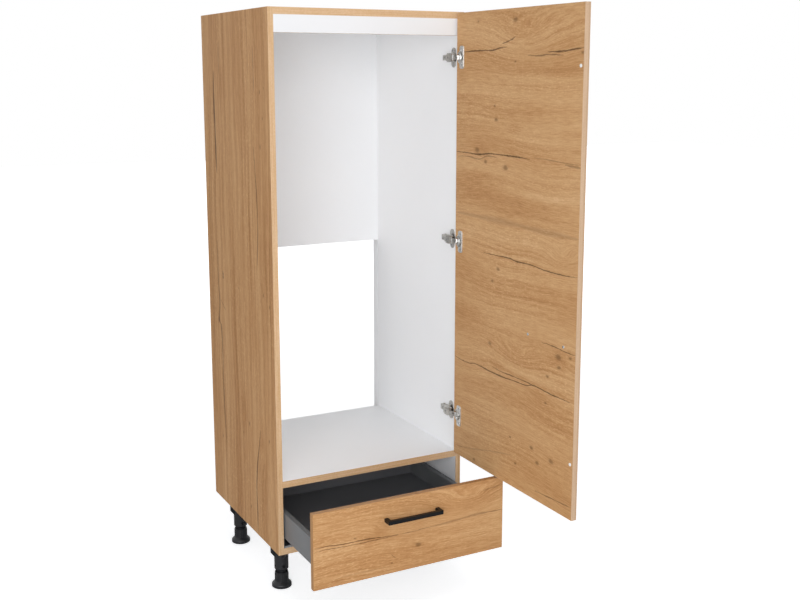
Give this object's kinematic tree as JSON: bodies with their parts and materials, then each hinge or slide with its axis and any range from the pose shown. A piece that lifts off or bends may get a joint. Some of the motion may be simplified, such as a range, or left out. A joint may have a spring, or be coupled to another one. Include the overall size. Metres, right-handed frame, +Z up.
{
  "type": "fridge housing unit",
  "caption": "Tall kitchen cabinet for a built-in refrigerator: open-backed niche behind a hinged door, a metal-sided drawer below, adjustable feet.",
  "frame": {"origin": "on the floor at the wall plane, half way across the unit", "axes": "+Z up; +Y from the open front to the wall; +X to the right of someone who faces the front"},
  "size_m": [0.6165, 1.166, 1.665],
  "materials": {
    "oak_board": "oak decor on chipboard, matt and fine-grained",
    "oak_band": "1 mm edge band in a lighter oak",
    "white_board": "white melamine on chipboard",
    "white_back": "white lacquered fibreboard",
    "beech": "fluted beech",
    "anthracite_board": "anthracite melamine on chipboard",
    "grey_metal": "grey powder coat on folded steel",
    "nickel": "nickel-plated pressed steel",
    "zinc": "zinc-plated",
    "steel": "bright zinc-plated",
    "black_handle": "matt black powder coat",
    "black_plastic": "moulded, slightly satin",
    "white_pad": "soft, translucent white"
  },
  "bodies": {
    "carcass": {"side_panel_left": "oak_board", "side_panel_right": "oak_board", "top_panel": "white_board", "niche_shelf": "white_board", "bottom_panel": "oak_board", "front_rail": "white_board", "back_panel_upper": "white_back", "back_panel_lower": "white_back", "carcass_edge_bands": "oak_band", "dowels": "beech", "cam_fittings": "zinc", "plate_screws": "steel", "arm_pins": "steel", "arm_screws": "steel", "foot_screws": "steel", "hinge_plate_top": "nickel", "hinge_plate_middle": "nickel", "hinge_plate_bottom": "nickel", "hinge_arm_top": "nickel", "hinge_arm_middle": "nickel", "hinge_arm_bottom": "nickel", "runner_rail_left": "zinc", "runner_rail_right": "zinc", "foot_socket_front_left": "black_plastic", "foot_socket_front_right": "black_plastic", "foot_socket_rear_left": "black_plastic", "foot_socket_rear_right": "black_plastic"},
    "outer_links": {"outer_link_top": "nickel", "outer_link_middle": "nickel", "outer_link_bottom": "nickel"},
    "door": {"door_panel": "oak_board", "door_edge_band": "oak_band", "door_handle": "black_handle", "door_handle_screws": "steel", "door_bumpers": "white_pad", "hinge_cup_screws": "steel", "cup_pins": "steel", "hinge_cup_top": "nickel", "hinge_cup_middle": "nickel", "hinge_cup_bottom": "nickel"},
    "inner_links": {"inner_link_top": "nickel", "inner_link_middle": "nickel", "inner_link_bottom": "nickel"},
    "drawer": {"drawer_front": "oak_board", "drawer_front_band": "oak_band", "drawer_handle": "black_handle", "drawer_handle_screws": "steel", "drawer_base": "anthracite_board", "drawer_back": "anthracite_board", "front_fixings": "zinc", "drawer_side_left": "grey_metal", "drawer_side_right": "grey_metal", "drawer_runner_left": "zinc", "drawer_runner_right": "zinc"},
    "runner_middles": {"runner_middle_left": "zinc", "runner_middle_right": "zinc"},
    "foot_front_left": {"foot_base_front_left": "black_plastic"},
    "foot_front_right": {"foot_base_front_right": "black_plastic"},
    "foot_rear_left": {"foot_base_rear_left": "black_plastic"},
    "foot_rear_right": {"foot_base_rear_right": "black_plastic"}
  },
  "joints": [
    {"name": "outer_link_turn", "type": "hinge", "parent": "carcass", "child": "outer_links", "pos_m": [0.26309, -0.56, 1.0072], "axis": [0, 0, 1], "range_deg": [-8.2, 47.8]},
    {"name": "door_swing", "type": "hinge", "parent": "outer_links", "child": "door", "pos_m": [0.27505, -0.5812, 1.0072], "axis": [0, 0, 1], "range_deg": [-137.51, 22.92]},
    {"name": "inner_link_turn", "type": "hinge", "parent": "door", "child": "inner_links", "pos_m": [0.27857, -0.5793, 1.0072], "axis": [0, 0, 1], "range_deg": [-20.8, 122.8]},
    {"name": "drawer_slide", "type": "slide", "parent": "carcass", "child": "drawer", "axis": [0, -1, 0], "range_m": [-0.226, 0.274]},
    {"name": "runner_middle_slide", "type": "slide", "parent": "carcass", "child": "runner_middles", "axis": [0, -1, 0], "range_m": [-0.1135, 0.1375]},
    {"name": "foot_front_left_height", "type": "slide", "parent": "carcass", "child": "foot_front_left", "axis": [0, 0, -1], "range_m": [0, 0.03]},
    {"name": "foot_front_right_height", "type": "slide", "parent": "carcass", "child": "foot_front_right", "axis": [0, 0, -1], "range_m": [0, 0.03]},
    {"name": "foot_rear_left_height", "type": "slide", "parent": "carcass", "child": "foot_rear_left", "axis": [0, 0, -1], "range_m": [0, 0.03]},
    {"name": "foot_rear_right_height", "type": "slide", "parent": "carcass", "child": "foot_rear_right", "axis": [0, 0, -1], "range_m": [0, 0.03]}
  ],
  "couplings": [
    {"joint": "outer_link_turn", "follows": "door_swing", "ratio": -0.34548},
    {"joint": "inner_link_turn", "follows": "door_swing", "ratio": -0.89014},
    {"joint": "runner_middle_slide", "follows": "drawer_slide", "ratio": 0.5}
  ]
}
